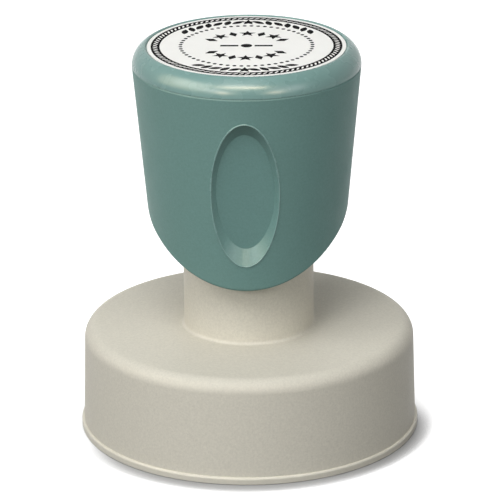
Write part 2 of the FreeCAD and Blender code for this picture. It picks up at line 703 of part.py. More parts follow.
def make_handle_core():
    """Plate with the socket for the spigot, braced by ribs and screwed to the columns."""
    socket = SPIGOT_RADIUS + RUNNING_GAP
    socket_low = SHOULDER + SEATED_GAP
    tube = socket + SOCKET_WALL
    body = revolved([
        (0, CORE_TOP),
        (0, CORE_UNDER),
        (socket, CORE_UNDER),
        (socket, socket_low, EDGE_BEVEL, BEVEL),
        (tube, socket_low, EDGE_BEVEL, BEVEL),
        (tube, CORE_UNDER),
        (handle_bore(CORE_UNDER) - MOULDING_GAP, CORE_UNDER),
        (handle_bore(CORE_TOP) - MOULDING_GAP, CORE_TOP, EDGE_BEVEL, BEVEL),
    ])
    rib_wire = Part.makePolygon([
        Vector(tube - FUSE_OVERLAP, 0, CORE_UNDER + FUSE_OVERLAP),
        Vector(tube - FUSE_OVERLAP, 0, CORE_UNDER - CORE_RIB_DEPTH),
        Vector(tube + CORE_RIB_TIP, 0, CORE_UNDER - CORE_RIB_DEPTH),
        Vector(tube + CORE_RIB_REACH, 0, CORE_UNDER),
        Vector(tube + CORE_RIB_REACH, 0, CORE_UNDER + FUSE_OVERLAP),
        Vector(tube - FUSE_OVERLAP, 0, CORE_UNDER + FUSE_OVERLAP),
    ])
    rib = Part.Face(rib_wire)
    rib.translate(Vector(0, -CORE_RIB_THICKNESS / 2, 0))
    rib = rib.extrude(Vector(0, CORE_RIB_THICKNESS, 0))
    body = body.multiFuse(around(rib, CORE_RIB_COUNT)).removeSplitter()
    hole = Part.makeCylinder(SCREW_SHANK_RADIUS + SCREW_GAP, CORE_PLATE + 2 * OVERCUT,
                             Vector(COLUMN_PITCH_RADIUS, 0, CORE_UNDER - OVERCUT))
    for cut in around(hole, COLUMN_COUNT, COLUMN_START_ANGLE):
        body = body.cut(cut)
    fill_low = FLAT_LOW + RUNNING_GAP
    flat_fill = Part.makeBox(2 * socket, socket, CORE_UNDER - fill_low,
                             Vector(-socket, FLAT_SIDE + RUNNING_GAP, fill_low))
    flat_fill = flat_fill.common(cylinder(socket + SOCKET_WALL / 2, fill_low, CORE_UNDER))
    body = body.fuse(flat_fill).removeSplitter()
    backing = oval_tool(MOULDING_GAP, HANDLE_WALL + MOULDING_GAP)
    for angle in (0, 180):
        body = body.cut(turned(backing, angle))
    return body


def make_top_cap():
    """Rounded shoulder over the handle's mouth, with a plug below and a seat for the label above."""
    plug_low = SEAM - PLUG_DEPTH
    plug_bore = handle_bore(SEAM) - MOULDING_GAP - PLUG_WALL
    foot = Vector(HANDLE_RADIUS, 0, SHOULDER_LOW)
    centre = Vector(SHOULDER_CENTRE, 0, SHOULDER_LOW)
    rim_centre = Vector(RIM_CENTRE, 0, RIM_CENTRE_LEVEL)
    across = (rim_centre - centre).normalize()
    crest = centre + across * SHOULDER_ROUNDING
    inner_rim = Vector(LABEL_BORE, 0, RIM_CENTRE_LEVEL)
    outline = [
        arc_about(centre, SHOULDER_ROUNDING, foot, crest),
        arc_about(rim_centre, RIM_ROUNDING, crest, inner_rim),
    ]
    rest = Part.makePolygon([
        inner_rim,
        Vector(LABEL_BORE, 0, LABEL_SEAT),
        Vector(0, 0, LABEL_SEAT),
        Vector(0, 0, LABEL_SEAT - TOP_CAP_PLATE),
        Vector(plug_bore, 0, LABEL_SEAT - TOP_CAP_PLATE),
        Vector(plug_bore, 0, plug_low),
        Vector(handle_bore(plug_low) - MOULDING_GAP, 0, plug_low),
        Vector(handle_bore(SEAM) - MOULDING_GAP, 0, SEAM),
        Vector(HANDLE_RADIUS - SEAM_BEVEL_WIDTH, 0, SEAM),
        foot,
    ])
    face = Part.Face(Part.Wire(outline + rest.Edges))
    return face.revolve(Vector(0, 0, 0), Vector(0, 0, 1), 360)


def arc_about(centre, radius, start, end):
    """Shorter arc round a centre from one point to another."""
    half_way = ((start + end) * 0.5 - centre).normalize()
    return Part.Arc(start, centre + half_way * radius, end).toShape()


def make_index_label():
    """Printed disc in the top cap."""
    return cylinder(LABEL_BORE - LABEL_GAP, LABEL_SEAT, LABEL_SEAT + LABEL_THICKNESS)


def screw(pitch_radius, seat, length):
    """Pan-head screw standing on a seat."""
    body = revolved([
        (0, seat - length),
        (SCREW_SHANK_RADIUS, seat - length),
        (SCREW_SHANK_RADIUS, seat),
        (SCREW_HEAD_RADIUS, seat),
        (SCREW_HEAD_RADIUS, seat + SCREW_HEAD_HEIGHT, MOUTH_BEVEL, BEVEL),
        (0, seat + SCREW_HEAD_HEIGHT),
    ])
    body.translate(Vector(pitch_radius, 0, 0))
    return body


def make_head_screws():
    """Screws that join the stem's flange to the holder."""
    one = screw(HEAD_SCREW_PITCH_RADIUS, FLANGE_TOP, HEAD_SCREW_LENGTH)
    return Part.makeCompound(around(one, HEAD_SCREW_COUNT))


def make_core_screws():
    """Screws that join the core to the handle's columns."""
    one = screw(COLUMN_PITCH_RADIUS, CORE_TOP, CORE_PLATE + CORE_SCREW_LENGTH - OVERCUT)
    return Part.makeCompound(around(one, COLUMN_COUNT, COLUMN_START_ANGLE))


PIECES = {
    "skirt_housing": make_skirt_housing,
    "dust_cap": make_dust_cap,
    "stamp_die": make_stamp_die,
    "ink_pad": make_ink_pad,
    "die_holder": make_die_holder,
    "die_frame": make_die_frame,
    "stem": make_stem,
    "ink_seal": make_ink_seal,
    "head_screws": make_head_screws,
    "return_spring": make_return_spring,
    "spring_seat": make_spring_seat,
    "retaining_clip": make_retaining_clip,
    "filler_plug": make_filler_plug,
    "grip_ring": make_grip_ring,
    "handle_shell": make_handle_shell,
    "handle_core": make_handle_core,
    "core_screws": make_core_screws,
    "top_cap": make_top_cap,
    "index_label": make_index_label,
}

os.makedirs("parts", exist_ok=True)
for name, make in PIECES.items():
    shape = make()
    shape.exportStep("parts/" + name + ".step")
    print(name, "solids", len(shape.Solids), "valid", shape.isValid(), "volume", round(shape.Volume, 1))
print("least gap between the spring's turns", round(spring_gap(), 3))
print("overall height", round(TOP, 3))
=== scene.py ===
import math

import bmesh
import bpy
from mathutils import Matrix, Vector
from mathutils.bvhtree import BVHTree


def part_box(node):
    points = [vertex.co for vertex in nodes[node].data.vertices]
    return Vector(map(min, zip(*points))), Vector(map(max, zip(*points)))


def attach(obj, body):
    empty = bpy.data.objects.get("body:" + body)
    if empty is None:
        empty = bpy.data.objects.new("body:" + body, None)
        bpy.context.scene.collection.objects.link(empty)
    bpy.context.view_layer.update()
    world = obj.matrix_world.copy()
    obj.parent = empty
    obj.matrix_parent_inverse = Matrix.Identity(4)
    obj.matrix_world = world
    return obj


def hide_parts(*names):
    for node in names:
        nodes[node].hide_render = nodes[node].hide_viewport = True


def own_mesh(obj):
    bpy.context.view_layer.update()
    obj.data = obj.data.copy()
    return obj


# A round pre-inked hand stamp on its dust cap. Lengths in metres, +Z up, front towards -Y.
MM = 0.001
UP = Vector((0, 0, 1))

# Camera, fitted to the photograph, with angles in degrees
CAMERA_DISTANCE = 0.77767
CAMERA_ELEVATION = 20.394
CAMERA_AZIMUTH = 1.5
CAMERA_ROLL = -0.517
CAMERA_LENS = 300.0
SENSOR_WIDTH = 36.0
AIM_RIGHT = 0.0003065
AIM_LEVEL = 0.033955

# Soft boxes: name, degrees from the front towards the right, degrees up, width and height, power
LAMPS = (
    ("key_lamp", -8, 51, (0.4, 0.35), 2.85),
    ("low_lamp", -33, 22, (0.35, 0.15), 1.95),
    ("left_lamp", -62, 35, (0.5, 0.5), 3.4),
    ("right_lamp", 45, 22, (0.5, 0.4), 2.2),
    ("top_lamp", -15, 75, (0.5, 0.5), 1.65),
    ("rear_lamp", 180, 45, (0.5, 0.5), 0.5),
)
# One that isn't seen in gloss
MATTE_LAMP = ("low_rear_lamp", 180, 6, (0.5, 0.15), 2.6)
# Some that are seen in gloss only
GLINTS = (
    ("centre_glint", -3, 44, (0.6, 0.13), 7.4),
    ("left_glint", -68, 27, (0.9, 0.7), 9.8),
    ("low_left_glint", -22, 14, (0.12, 0.09), 2.4),
    ("low_right_glint", 29, 14, (0.16, 0.1), 2.2),
)
GLINT_COLOUR = (1.0, 0.8, 0.56)
LAMP_DISTANCE = 0.9
LAMP_AIM = 0.04
WORLD_FILL = 0.035

# Table top: its size, its grey to the camera and to the stamp, and a painted shadow at the stamp's
# foot, which darkens its glow and grows from the first power to the second towards the front
FLOOR_RADIUS = 2.5
FLOOR_CORNERS = 64
FLOOR_DROP = 0.05 * MM
FLOOR_SEEN = 0.35
FLOOR_BOUNCE = 0.09
PAINTED_SHADOW_DISTANCE = 4.5 * MM
SHADOW_SAMPLES = 8
SHADOW_SIDE = (0.31, -0.95, 0)
SHADOW_REACH = 31.7 * MM
SHADOW_FULL = 0.95
SHADOW_POWERS = (0.8, 10)

# Part of a noise's range that holds nearly all of its values
NOISE_LOW = 0.3
NOISE_HIGH = 0.7

# Rope border of the printed design, with radii as shares of the label's radius
ROPE_INNER = 0.872
ROPE_OUTER = 0.962
ROPE_LINKS = 98
ROPE_STEPS = 14
# One strand's slant, sway and half width, as shares of the distance between strands
ROPE_SLANT = 0.85
ROPE_SWAY = 0.12
ROPE_WAIST = 0.26
ROPE_BEAD = 0.26
# Along half a strand, as shares of it: the waist, the swelling to a bead, the rounding of the end
ROPE_WAIST_END = 0.3
ROPE_BEAD_RISE = 0.35
ROPE_ROUND_END = 0.2
# Share of the width that the rounding takes off
ROPE_TAPER = 0.2

# Dots and dashes of the printed design, as shares of the label's radius
DOT_RING = 0.663
DOT_COUNT = 60
DOT_RADIUS = 0.02
DOT_CORNERS = 14
DASH_START = 0.082
DASH_END = 0.263
DASH_WIDTH = 0.044
CENTRE_DOT = 0.057
CENTRE_DOT_CORNERS = 28

# Ornaments of the printed design, with sizes as shares of the label's radius and angles in degrees
OUTER_ARC = 0.785
INNER_ARC = 0.405
INNER_MARKS = 7
INNER_SPREADS = (62, 58)
LOZENGE_SIZE = (0.085, 0.15)
STAR_POINTS = 5
STAR_SIZE = 0.088
STAR_NOTCH = 0.42
# Laurel branches: leaves on either side, a leaf's length and width, half of the arc
UPPER_BRANCH = (7, 0.15, 0.068, 54)
LOWER_BRANCH = (5, 0.14, 0.066, 36)
BRANCH_STAR = 1.25
LEAF_TILTS = (58, 30)
LEAF_STEPS = 6
LEAF_FULLNESS = 0.8
INK_THICKNESS = 0.02 * MM

# Handle's oval recesses, polished to just past their edges, as shares of the oval
RECESS_LEVEL = 51.45 * MM
RECESS_HALF_WIDTH = 6.23 * MM
RECESS_HALF_HEIGHT = 14.09 * MM
RECESS_ROUGHNESS = 0.3
POLISH_FULL = 0.98
POLISH_END = 1.04

# Fine raised line on the recesses' edges, whose lighter cap green adds a painted highlight to the
# real ones it catches. The handle is gauged beside the recess, from in front
BEAD_RADIUS = 0.17 * MM
BEAD_STEPS = 140
BEAD_SECTION_STEPS = 8
GAUGE_ACROSS = 8.5 * MM
GAUGE_START = 1.0

# Return spring, as its solid in the frame
SPRING_TURNS = 6
SPRING_END_TURNS = 1
SPRING_WIRE = 1.3 * MM
SPRING_END_PITCH = 1.8 * MM
SPRING_SECTION_STEPS = 14
SPRING_STEPS_PER_TURN = 40

# Printing face: its bare edge, the height of its relief and how far that is sunk in
DIE_EDGE = 1.0 * MM
DIE_RELIEF = 1.0 * MM
DIE_ROOT = 0.3 * MM
DIE_BEVEL = 0.15 * MM
DIE_STEPS = 128

# Screws with a cross recess, as many and placed as their solids in the frame:
# body, count and degrees to the first one
SCREW_RINGS = {"head_screws": ("cartridge", 3, 0), "core_screws": ("handle", 4, 45)}
SCREW_HEAD_RADIUS = 2.1 * MM
SCREW_HEAD_HEIGHT = 1.4 * MM
SCREW_HEAD_BEVEL = 0.1 * MM
SCREW_SHANK_RADIUS = 1.2 * MM
SCREW_CROWN = 0.4 * MM
CROWN_ANGLES = (0, 30, 60, 90)
# Point of a screw: radius and length as shares of the root's radius
POINT_RADIUS = 0.75
POINT_LENGTH = 0.5
THREAD_PITCH = 0.9 * MM
THREAD_DEPTH = 0.28 * MM
THREAD_HALF_WIDTH = 0.27 * MM
# Sunk foot of the thread, as a share of the root's radius
THREAD_FOOT = 0.9
THREAD_STEPS = 20
# Cross recess, with its floor as a share of its outline and extra corners between its arms
CROSS_REACH = 1.25 * MM
CROSS_WIDTH = 0.55 * MM
CROSS_DEPTH = 0.9 * MM
CROSS_FLOOR = 0.6
CROSS_SHARES = (0.25, 0.5, 0.75)
# Keeps a division finite on the middle line of an arm
LEAST_SINE = 0.001

# Rubber rings
SOFT_RINGS = ("grip_ring", "ink_seal")
RING_STEPS = 72
RING_SECTION_STEPS = 16

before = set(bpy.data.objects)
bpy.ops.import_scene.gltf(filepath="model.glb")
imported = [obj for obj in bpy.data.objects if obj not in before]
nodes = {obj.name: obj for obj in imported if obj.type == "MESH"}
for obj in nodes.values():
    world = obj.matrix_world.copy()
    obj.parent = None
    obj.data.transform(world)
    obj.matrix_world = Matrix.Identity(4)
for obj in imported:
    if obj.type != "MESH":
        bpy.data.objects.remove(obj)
bpy.context.view_layer.update()


# Shapes

def mesh_object(name, bm, smooth_angle=None):
    """Object from a bmesh, with its faces turned outwards."""
    bmesh.ops.recalc_face_normals(bm, faces=bm.faces)
    mesh = bpy.data.meshes.new(name)
    bm.to_mesh(mesh)
    bm.free()
    obj = bpy.data.objects.new(name, mesh)
    bpy.context.scene.collection.objects.link(obj)
    if smooth_angle is not None:
        mesh.shade_smooth()
        mesh.set_sharp_from_angle(angle=math.radians(smooth_angle))
    return obj


def even_turns(count):
    """Angles spread evenly round a circle."""
    return [2 * math.pi * number / count for number in range(count)]


def section_ring(bm, centre, outward, upward, radius, count):
    """Ring of vertices round a centre, in the plane of two directions."""
    return [bm.verts.new(centre + (outward * math.cos(turn) + upward * math.sin(turn)) * radius)
            for turn in even_turns(count)]


def skin(bm, rings, closed=False):
    """Faces between successive rings of vertices, with caps unless they close a loop."""
    for first, second in zip(rings, rings[1:] + rings[:1] if closed else rings[1:]):
        count = len(first)
        for number in range(count):
            following = (number + 1) % count
            bm.faces.new((first[number], first[following], second[following], second[number]))
    if not closed:
        bm.faces.new(rings[0][::-1])
        bm.faces.new(rings[-1])


def lathe(bm, profile, turns):
    """Closed body round the axis, from (radius, level) pairs that start and end on the axis.

    A radius may be a function of the angle.
    """
    ends = [bm.verts.new((0, 0, profile[0][1])), bm.verts.new((0, 0, profile[-1][1]))]
    rings = []
    for radius, level in profile[1:-1]:
        ring = []
        for turn in turns:
            reach = radius(turn) if callable(radius) else radius
            ring.append(bm.verts.new((reach * math.cos(turn), reach * math.sin(turn), level)))
        rings.append(ring)
    for number in range(len(turns)):
        following = (number + 1) % len(turns)
        bm.faces.new((ends[0], rings[0][number], rings[0][following]))
        bm.faces.new((ends[1], rings[-1][following], rings[-1][number]))
        for first, second in zip(rings, rings[1:]):
            bm.faces.new((first[number], first[following], second[following], second[number]))


# Materials

def srgb(red, green, blue):
    """Scene colour of an 8-bit display colour."""
    def linear(value):
        value = value / 255
        if value <= 0.04045:
            return value / 12.92
        return ((value + 0.055) / 1.055) ** 2.4
    return (linear(red), linear(green), linear(blue), 1.0)


def add_node(tree, kind, inputs=None, **settings):
    """New shader node, with values for its inputs by name and for its own settings."""
    node = tree.nodes.new(kind)
    for name, value in settings.items():
        setattr(node, name, value)
    for name, value in (inputs or {}).items():
        node.inputs[name].default_value = value
    return node


def bare_tree(owner):
    """Node tree of a material or world, emptied."""
    owner.use_nodes = True
    owner.node_tree.nodes.clear()
    return owner.node_tree


def new_material(name, inputs):
    """Material with only a Principled shader, returned with its tree and that shader."""
    mat = bpy.data.materials.new(name)
    tree = bare_tree(mat)
    output = add_node(tree, "ShaderNodeOutputMaterial")
    shader = add_node(tree, "ShaderNodeBsdfPrincipled", inputs)
    tree.links.new(shader.outputs["BSDF"], output.inputs["Surface"])
    return mat, tree, shader


def noise_of(tree, scale, detail=2.0, roughness=0.5, stretch=(1, 1, 1)):
    """Noise in the object's own coordinates, with a scale in waves per metre."""
    place = add_node(tree, "ShaderNodeTexCoord")
    mapping = add_node(tree, "ShaderNodeMapping", {"Scale": stretch})
    noise = add_node(tree, "ShaderNodeTexNoise",
                     {"Scale": scale, "Detail": detail, "Roughness": roughness})
    tree.links.new(place.outputs["Object"], mapping.inputs["Vector"])
    tree.links.new(mapping.outputs["Vector"], noise.inputs["Vector"])
    return noise.outputs["Fac"]


def vary_colour(tree, shader, fac, colour, spread):
    """Base colour that wanders by a share either side of a colour."""
    ramp = add_node(tree, "ShaderNodeValToRGB")
    darkest, lightest = ramp.color_ramp.elements
    darkest.position = NOISE_LOW
    darkest.color = [value * (1 - spread) for value in colour[:3]] + [1.0]
    lightest.position = NOISE_HIGH
    lightest.color = [min(value * (1 + spread), 1.0) for value in colour[:3]] + [1.0]
    tree.links.new(fac, ramp.inputs["Fac"])
    tree.links.new(ramp.outputs["Color"], shader.inputs["Base Color"])


def vary_roughness(tree, shader, fac, low, high):
    """Roughness that wanders between two values."""
    spread = add_node(tree, "ShaderNodeMapRange", {
        "From Min": NOISE_LOW, "From Max": NOISE_HIGH, "To Min": low, "To Max": high})
    tree.links.new(fac, spread.inputs["Value"])
    tree.links.new(spread.outputs["Result"], shader.inputs["Roughness"])


def bump(tree, shader, fac, height, strength):
    """Surface relief from a factor, with its height in metres."""
    node = add_node(tree, "ShaderNodeBump", {"Strength": strength, "Distance": height})
    tree.links.new(fac, node.inputs["Height"])
    tree.links.new(node.outputs["Normal"], shader.inputs["Normal"])


def outside_recess(tree):
    """Factor that is 0 in the handle's oval recesses and 1 outside them."""
    place = add_node(tree, "ShaderNodeTexCoord")
    oval = add_node(tree, "ShaderNodeMapping", {
        "Location": (0, 0, -RECESS_LEVEL / RECESS_HALF_HEIGHT),
        "Scale": (1 / RECESS_HALF_WIDTH, 0, 1 / RECESS_HALF_HEIGHT),
    })
    reach = add_node(tree, "ShaderNodeVectorMath", operation="LENGTH")
    edge = add_node(tree, "ShaderNodeMapRange", {"From Min": POLISH_FULL, "From Max": POLISH_END})
    tree.links.new(place.outputs["Object"], oval.inputs["Vector"])
    tree.links.new(oval.outputs["Vector"], reach.inputs[0])
    tree.links.new(reach.outputs["Value"], edge.inputs["Value"])
    return edge.outputs["Result"]


def polish_recess(mat):
    """Smoother surface in the handle's oval recesses, and on their edges."""
    tree = mat.node_tree
    shader = next(node for node in tree.nodes if node.type == "BSDF_PRINCIPLED")
    rough = shader.inputs["Roughness"].links[0].from_socket
    blend = add_node(tree, "ShaderNodeMix", {"A": RECESS_ROUGHNESS})
    tree.links.new(outside_recess(tree), blend.inputs["Factor"])
    tree.links.new(rough, blend.inputs["B"])
    tree.links.new(blend.outputs["Result"], shader.inputs["Roughness"])


def moulded_plastic(name, colour, roughness, gloss, grain, height, strength, speckle=0.03):
    """Moulded plastic with a fine spark-eroded grain."""
    mat, tree, shader = new_material(name, {"Specular IOR Level": gloss})
    speckles = noise_of(tree, scale=2600, detail=4, roughness=0.75)
    vary_colour(tree, shader, speckles, colour, speckle)
    vary_roughness(tree, shader, noise_of(tree, scale=260), roughness - 0.04, roughness + 0.04)
    bump(tree, shader, noise_of(tree, scale=grain, detail=3, roughness=0.6), height, strength)
    return mat


def rubber(name, colour, roughness):
    """Soft rubber or polymer with a powdery surface."""
    mat, tree, shader = new_material(name, {"Sheen Weight": 0.15})
    vary_colour(tree, shader, noise_of(tree, scale=500, detail=3), colour, spread=0.08)
    vary_roughness(tree, shader, noise_of(tree, scale=900), roughness - 0.06, roughness + 0.06)
    bump(tree, shader, noise_of(tree, scale=5200), height=0.02 * MM, strength=0.4)
    return mat


def metal(name, colour, roughness, stretch=(1, 1, 1)):
    """Plated or drawn steel, with streaks across the stretched direction."""
    mat, tree, shader = new_material(name, {"Metallic": 1.0})
    streaks = noise_of(tree, scale=1500, detail=3, roughness=0.6, stretch=stretch)
    grooves = noise_of(tree, scale=4000, stretch=stretch)
    vary_colour(tree, shader, noise_of(tree, scale=400, detail=3), colour, spread=0.1)
    vary_roughness(tree, shader, streaks, roughness - 0.05, roughness + 0.07)
    bump(tree, shader, grooves, height=0.004 * MM, strength=0.15)
    return mat


def felt(name, colour):
    """Ink-soaked felt."""
    mat, tree, shader = new_material(name, {"Sheen Weight": 0.3})
    tufts = noise_of(tree, scale=1600, detail=4, roughness=0.7)
    fibres = noise_of(tree, scale=3000, detail=5, roughness=0.7)
    vary_colour(tree, shader, tufts, colour, spread=0.3)
    vary_roughness(tree, shader, noise_of(tree, scale=700), low=0.75, high=0.95)
    bump(tree, shader, fibres, height=0.15 * MM, strength=0.8)
    return mat


def printed_film(name, colour):
    """Printed film with a satin face."""
    mat, tree, shader = new_material(name, {"Specular IOR Level": 0.15})
    vary_colour(tree, shader, noise_of(tree, scale=300), colour, spread=0.012)
    vary_roughness(tree, shader, noise_of(tree, scale=900), low=0.5, high=0.6)
    bump(tree, shader, noise_of(tree, scale=1800, detail=3), height=0.004 * MM, strength=0.3)
    return mat


def printing_ink(name, colour):
    """Dry ink on film."""
    mat, tree, shader = new_material(name, {"Specular IOR Level": 0.04})
    vary_colour(tree, shader, noise_of(tree, scale=2500, detail=3), colour, spread=0.25)
    vary_roughness(tree, shader, noise_of(tree, scale=2500, detail=3), low=0.6, high=0.75)
    bump(tree, shader, noise_of(tree, scale=3500), height=0.004 * MM, strength=0.4)
    return mat


MATERIALS = {
    "beige_plastic": moulded_plastic(
        "beige_plastic_look", srgb(205, 201, 188), roughness=0.5, gloss=0.1,
        grain=5200, height=0.02 * MM, strength=0.3, speckle=0.09),
    "cap_plastic": moulded_plastic(
        "cap_plastic_look", srgb(206, 202, 189), roughness=0.42, gloss=0.15,
        grain=5200, height=0.02 * MM, strength=0.2),
    "green_plastic": moulded_plastic(
        "green_plastic_look", srgb(98, 133, 128), roughness=0.55, gloss=0.25,
        grain=4200, height=0.04 * MM, strength=0.5, speckle=0.08),
    "green_gloss": moulded_plastic(
        "green_gloss_look", srgb(110, 144, 139), roughness=0.27, gloss=0.4,
        grain=6000, height=0.01 * MM, strength=0.1, speckle=0.02),
    "grey_plastic": moulded_plastic(
        "grey_plastic_look", srgb(92, 94, 96), roughness=0.42, gloss=0.4,
        grain=4600, height=0.02 * MM, strength=0.3),
    "label_film": printed_film("label_film_look", srgb(244, 244, 240)),
    "die_rubber": rubber("die_rubber_look", srgb(70, 34, 40), roughness=0.6),
    "pad_foam": felt("pad_felt_look", srgb(26, 24, 30)),
    "seal_rubber": rubber("seal_rubber_look", srgb(30, 30, 32), roughness=0.55),
    "spring_steel": metal("spring_steel_look", srgb(176, 178, 180), roughness=0.28),
    "screw_steel": metal("screw_steel_look", srgb(196, 192, 178), roughness=0.3, stretch=(1, 1, 6)),
    "ink": printing_ink("ink_look", srgb(6, 6, 7)),
}

polish_recess(MATERIALS["green_plastic"])

for node in nodes.values():
    for material_slot in node.material_slots:
        material_slot.material = MATERIALS[material_slot.material.name]


def finish_piece(obj, body, slot):
    """Gives a new piece its body and the material of the named slot."""
    obj.data.materials.append(MATERIALS[slot])
    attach(obj, body)


# The printed design, as flat outlines round the origin with a radius of 1

def rope_link(angle, pitch):
    """One slanted strand of the rope border, with a bead at both edges of the border."""
    front = []
    back = []
    for step in range(ROPE_STEPS + 1):
        share = step / ROPE_STEPS
        radius = ROPE_INNER + (ROPE_OUTER - ROPE_INNER) * share
        sway = ROPE_SWAY * math.sin(2 * math.pi * share)
        lean = angle + pitch * ROPE_SLANT * (share - 0.5 - sway)
        outwards = abs(2 * share - 1)
        swell = min(max((outwards - ROPE_WAIST_END) / ROPE_BEAD_RISE, 0), 1)
        rounding = max(outwards - (1 - ROPE_ROUND_END), 0) / ROPE_ROUND_END
        half = pitch * (ROPE_WAIST + ROPE_BEAD * swell * swell * (3 - 2 * swell))
        half = half * (1 - ROPE_TAPER * rounding ** 2)
        front.append((radius * math.sin(lean + half), radius * math.cos(lean + half)))
        back.append((radius * math.sin(lean - half), radius * math.cos(lean - half)))
    return front + back[::-1]


def rope_border():
    """Rope round the edge of the design."""
    pitch = 2 * math.pi / ROPE_LINKS
    return [rope_link(number * pitch, pitch) for number in range(ROPE_LINKS)]


def disc(centre, radius, corners):
    """Round dot."""
    return [(centre[0] + radius * math.cos(turn), centre[1] + radius * math.sin(turn))
            for turn in even_turns(corners)]


def dot_ring():
    """Ring of small dots."""
    outlines = []
    for number in range(DOT_COUNT):
        angle = 2 * math.pi * (number + 0.5) / DOT_COUNT
        centre = (DOT_RING * math.sin(angle), DOT_RING * math.cos(angle))
        outlines.append(disc(centre, DOT_RADIUS, DOT_CORNERS))
    return outlines


def centre_mark():
    """Dash, dot and dash through the centre."""
    half = DASH_WIDTH / 2
    right = [(DASH_START, -half), (DASH_END, -half), (DASH_END, half), (DASH_START, half)]
    left = [(-x, y) for x, y in reversed(right)]
    return [disc((0, 0), CENTRE_DOT, CENTRE_DOT_CORNERS), right, left]


def on_arc(outline, radius, angle, below):
    """Outline moved out to a radius and turned, upright when read from the front."""
    placed = []
    for x, y in outline:
        level = radius + (-y if below else y)
        across = -x if below else x
        placed.append((across * math.cos(angle) + level * math.sin(angle),
                       level * math.cos(angle) - across * math.sin(angle)))
    return placed


def star(size):
    """Five-pointed star."""
    points = []
    for number in range(2 * STAR_POINTS):
        reach = size if number % 2 == 0 else size * STAR_NOTCH
        turn = math.pi * number / STAR_POINTS
        points.append((reach * math.sin(turn), reach * math.cos(turn)))
    return points


def lozenge(width, height):
    """Slim diamond."""
    return [(width / 2, 0), (0, height / 2), (-width / 2, 0), (0, -height / 2)]


def leaf(length, width, lean):
    """Pointed leaf that leans away from the radius."""
    points = []
    for side in (1, -1):
        for step in range(LEAF_STEPS):
            share = step / LEAF_STEPS if side > 0 else 1 - step / LEAF_STEPS
            along = (share - 0.5) * length
            across = side * width / 2 * math.sin(math.pi * share) ** LEAF_FULLNESS
            points.append((across * math.cos(lean) + along * math.sin(lean),
                           along * math.cos(lean) - across * math.sin(lean)))
    return points


def arc_of(marks, radius, spread, below):
    """Marks spread evenly along an arc at the top of the design, or at the bottom."""
    outlines = []
    for number, mark in enumerate(marks):
        share = number / (len(marks) - 1) * 2 - 1
        angle = math.radians(spread) * share
        if below:
            angle = math.pi - angle
        outlines.append(on_arc(mark, radius, angle, below))
    return outlines


def laurel(count, length, width):
    """Leaves of a laurel branch that grows from both ends towards a star in the middle."""
    marks = []
    for number in range(2 * count + 1):
        if number == count:
            marks.append(star(width * BRANCH_STAR))
        else:
            side = 1 if number < count else -1
            tilt = LEAF_TILTS[number % 2]
            marks.append(leaf(length, width, side * math.radians(tilt)))
    return marks


def ornament_arcs():
    """Laurel branches between the rope and the dots, and stars and diamonds round the centre."""
    outlines = []
    for (count, length, width, spread), below in ((UPPER_BRANCH, False), (LOWER_BRANCH, True)):
        outlines += arc_of(laurel(count, length, width), OUTER_ARC, spread, below)
    marks = [star(STAR_SIZE) if number % 2 else lozenge(*LOZENGE_SIZE)
             for number in range(INNER_MARKS)]
    for spread, below in zip(INNER_SPREADS, (False, True)):
        outlines += arc_of(marks, INNER_ARC, spread, below)
    return outlines


def raised(bm, outlines, scale, level, height):
    """Adds each outline to a bmesh as a closed prism between two levels."""
    for outline in outlines:
        low = [bm.verts.new((x * scale, y * scale, level)) for x, y in outline]
        high = [bm.verts.new((x * scale, y * scale, level + height)) for x, y in outline]
        skin(bm, [low, high])


DESIGN = {
    "rope_border": rope_border(),
    "dot_ring": dot_ring(),
    "centre_mark": centre_mark(),
    "ornament_arcs": ornament_arcs(),
}


def print_label():
    """The design in black ink on the index label."""
    low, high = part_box("index_label")
    radius = (high.x - low.x) / 2
    for name, outlines in DESIGN.items():
        bm = bmesh.new()
        raised(bm, outlines, radius, high.z, INK_THICKNESS)
        piece = mesh_object("printed_" + name, bm)
        piece.data.materials.append(MATERIALS["ink"])
        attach(piece, "handle")


# Pieces that take the place of plain solids

def make_printing_face():
    """Rubber face that carries the label's design in relief on its underside."""
    low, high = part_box("stamp_die")
    radius = (high.x - low.x) / 2
    base = low.z + DIE_RELIEF
    profile = [(0, base), (radius - DIE_BEVEL, base), (radius, base + DIE_BEVEL),
               (radius, high.z), (0, high.z)]
    bm = bmesh.new()
    lathe(bm, profile, even_turns(DIE_STEPS))
    scale = (radius - DIE_EDGE) / ROPE_OUTER
    for outlines in DESIGN.values():
        raised(bm, outlines, scale, low.z, DIE_RELIEF + DIE_ROOT)
    face = mesh_object("printing_face", bm, smooth_angle=30)
    finish_piece(face, "cartridge", "die_rubber")
    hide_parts("stamp_die")


def screw_thread(bm, low, high):
    """Sharp ridge wound round a screw's shank, with its foot sunk in."""
    foot = (SCREW_SHANK_RADIUS - THREAD_DEPTH) * THREAD_FOOT
    half = THREAD_HALF_WIDTH
    steps = round((high - low - 2 * half) / THREAD_PITCH * THREAD_STEPS)
    rings = []
    for step in range(steps + 1):
        turn = 2 * math.pi * step / THREAD_STEPS
        level = low + half + step / THREAD_STEPS * THREAD_PITCH
        section = [(foot, level - half), (SCREW_SHANK_RADIUS, level), (foot, level + half)]
        rings.append([bm.verts.new((radius * math.cos(turn), radius * math.sin(turn), height))
                      for radius, height in section])
    skin(bm, rings)


def cross_turns():
    """Angles round a screw's axis that meet every corner of its cross recess."""
    corner = math.atan2(CROSS_WIDTH / 2, CROSS_REACH)
    diagonal = math.pi / 4
    half = [0, corner / 2, corner]
    half += [corner + (diagonal - corner) * share for share in CROSS_SHARES]
    quarter = half + [math.pi / 2 - turn for turn in [diagonal] + half[:0:-1]]
    return [turn + side * math.pi / 2 for side in range(4) for turn in quarter]


